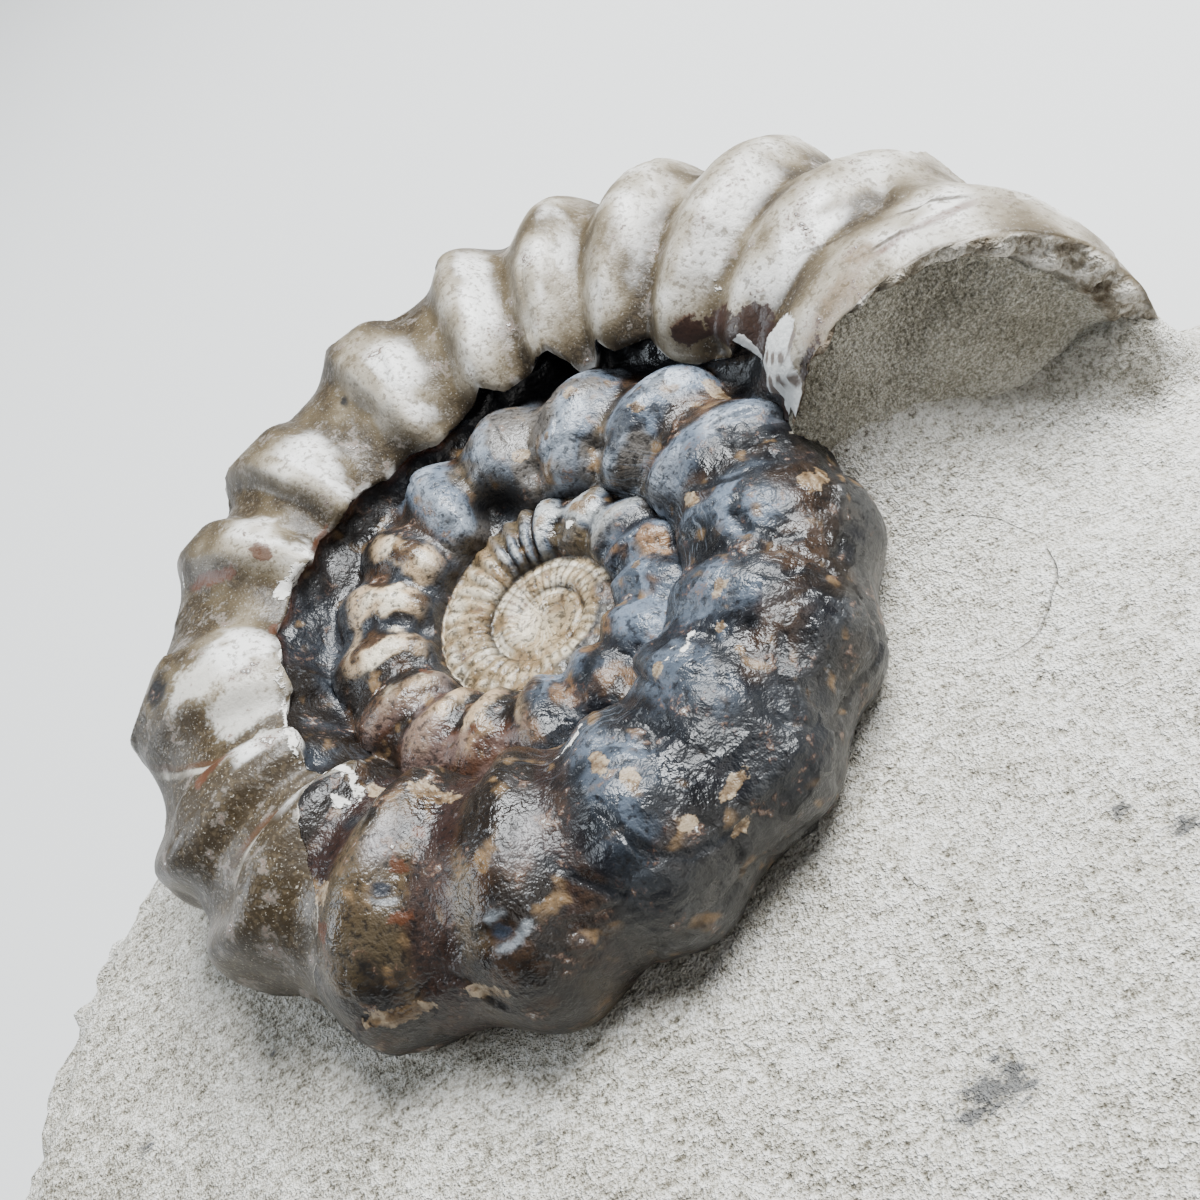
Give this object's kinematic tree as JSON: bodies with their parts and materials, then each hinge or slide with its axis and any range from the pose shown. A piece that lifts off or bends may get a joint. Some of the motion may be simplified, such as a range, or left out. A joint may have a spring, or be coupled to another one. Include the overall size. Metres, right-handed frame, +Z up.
{
  "type": "ammonite fossil",
  "caption": "Coiled, ribbed ammonite lying half-buried in a rough block of pale limestone with a flat cut base.",
  "frame": {"origin": "bottom centre of the whole object, on the flat base of the stone", "axes": "+Z up along the axis that the shell coils round, +X from the middle of the coil towards the shell's mouth and along the stone's longest side"},
  "size_m": [0.1111, 0.0913, 0.0435],
  "materials": {
    "ammonite": "polished fossil shell: cream and olive-brown ribs, with glossy brown and blue-black where the outer layer is gone",
    "matrix": "matt, fine-grained pale limestone, sand-blasted round the shell and broken at the sides"
  },
  "bodies": {
    "root": {"ammonite": "ammonite", "matrix": "matrix"}
  },
  "joints": []
}
